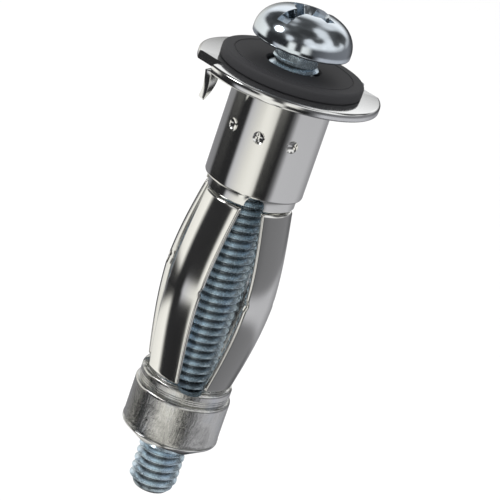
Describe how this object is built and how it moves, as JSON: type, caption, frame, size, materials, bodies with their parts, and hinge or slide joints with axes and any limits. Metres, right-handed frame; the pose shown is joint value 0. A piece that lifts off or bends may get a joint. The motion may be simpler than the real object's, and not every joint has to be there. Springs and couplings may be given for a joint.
{
  "type": "hollow wall anchor",
  "caption": "Metal hollow-wall anchor: a slotted sleeve with clawed flange and folding legs, a threaded nut, a fibre washer and a pan head screw that folds the legs.",
  "frame": {"origin": "on the anchor's axis in the wall-face plane, at the underside of the flange, where the barrel enters the hole", "axes": "+Z along the axis, out of the wall towards the screw's head; +X and +Y across it, with a slot between two legs on each of the four directions"},
  "size_m": [0.0144, 0.0144, 0.0417],
  "materials": {
    "zinc_sleeve": "bright zinc plated pressed steel sheet",
    "zinc_flange": "bright zinc plated punched steel plate",
    "zinc_nut": "bright zinc plated turned steel",
    "blue_zinc_screw": "blue passivated zinc plated steel",
    "black_fibre": "pressed black fibre, satin"
  },
  "bodies": {
    "sleeve": {"sleeve_barrel": "zinc_sleeve", "flange_plate": "zinc_flange"},
    "washer": {"washer": "black_fibre"},
    "screw": {"screw": "blue_zinc_screw"},
    "upper_leg_1": {"upper_leg_1": "zinc_sleeve"},
    "lower_leg_1": {"lower_leg_1": "zinc_sleeve"},
    "upper_leg_2": {"upper_leg_2": "zinc_sleeve"},
    "lower_leg_2": {"lower_leg_2": "zinc_sleeve"},
    "upper_leg_3": {"upper_leg_3": "zinc_sleeve"},
    "lower_leg_3": {"lower_leg_3": "zinc_sleeve"},
    "upper_leg_4": {"upper_leg_4": "zinc_sleeve"},
    "lower_leg_4": {"lower_leg_4": "zinc_sleeve"},
    "nut_collar": {"end_collar": "zinc_sleeve", "threaded_nut": "zinc_nut"}
  },
  "joints": [
    {"name": "screw_out", "type": "slide", "parent": "sleeve", "child": "washer", "axis": [0, 0, 1], "range_m": [0, 0.037]},
    {"name": "screw_turn", "type": "hinge", "parent": "washer", "child": "screw", "pos_m": [0, 0, 0], "axis": [0, 0, -1], "range_deg": [-750, 5110]},
    {"name": "upper_leg_1_out", "type": "hinge", "parent": "sleeve", "child": "upper_leg_1", "pos_m": [0.00232, 0.00232, -0.00971], "axis": [0.7071, -0.7071, 0], "range_deg": [-9.15, 61.16]},
    {"name": "leg_1_fold", "type": "hinge", "parent": "upper_leg_1", "child": "lower_leg_1", "pos_m": [0.00316, 0.00316, -0.01733], "axis": [-0.7071, 0.7071, 0], "range_deg": [-18.09, 122.12]},
    {"name": "upper_leg_2_out", "type": "hinge", "parent": "sleeve", "child": "upper_leg_2", "pos_m": [-0.00232, 0.00232, -0.00971], "axis": [0.7071, 0.7071, 0], "range_deg": [-9.15, 61.16]},
    {"name": "leg_2_fold", "type": "hinge", "parent": "upper_leg_2", "child": "lower_leg_2", "pos_m": [-0.00316, 0.00316, -0.01733], "axis": [-0.7071, -0.7071, 0], "range_deg": [-18.09, 122.12]},
    {"name": "upper_leg_3_out", "type": "hinge", "parent": "sleeve", "child": "upper_leg_3", "pos_m": [-0.00232, -0.00232, -0.00971], "axis": [-0.7071, 0.7071, 0], "range_deg": [-9.15, 61.16]},
    {"name": "leg_3_fold", "type": "hinge", "parent": "upper_leg_3", "child": "lower_leg_3", "pos_m": [-0.00316, -0.00316, -0.01733], "axis": [0.7071, -0.7071, 0], "range_deg": [-18.09, 122.12]},
    {"name": "upper_leg_4_out", "type": "hinge", "parent": "sleeve", "child": "upper_leg_4", "pos_m": [0.00232, -0.00232, -0.00971], "axis": [-0.7071, -0.7071, 0], "range_deg": [-9.15, 61.16]},
    {"name": "leg_4_fold", "type": "hinge", "parent": "upper_leg_4", "child": "lower_leg_4", "pos_m": [0.00316, -0.00316, -0.01733], "axis": [0.7071, 0.7071, 0], "range_deg": [-18.09, 122.12]},
    {"name": "collar_level", "type": "hinge", "parent": "lower_leg_1", "child": "nut_collar", "pos_m": [0.00232, 0.00232, -0.02493], "axis": [0.7071, -0.7071, 0], "range_deg": [-9.15, 61.16]}
  ],
  "couplings": [
    {"joint": "upper_leg_1_out", "follows": "screw_turn", "ratio": 0.01193},
    {"joint": "leg_1_fold", "follows": "screw_turn", "ratio": 0.02386},
    {"joint": "upper_leg_2_out", "follows": "screw_turn", "ratio": 0.01193},
    {"joint": "leg_2_fold", "follows": "screw_turn", "ratio": 0.02386},
    {"joint": "upper_leg_3_out", "follows": "screw_turn", "ratio": 0.01193},
    {"joint": "leg_3_fold", "follows": "screw_turn", "ratio": 0.02386},
    {"joint": "upper_leg_4_out", "follows": "screw_turn", "ratio": 0.01193},
    {"joint": "leg_4_fold", "follows": "screw_turn", "ratio": 0.02386},
    {"joint": "collar_level", "follows": "screw_turn", "ratio": 0.01193}
  ]
}
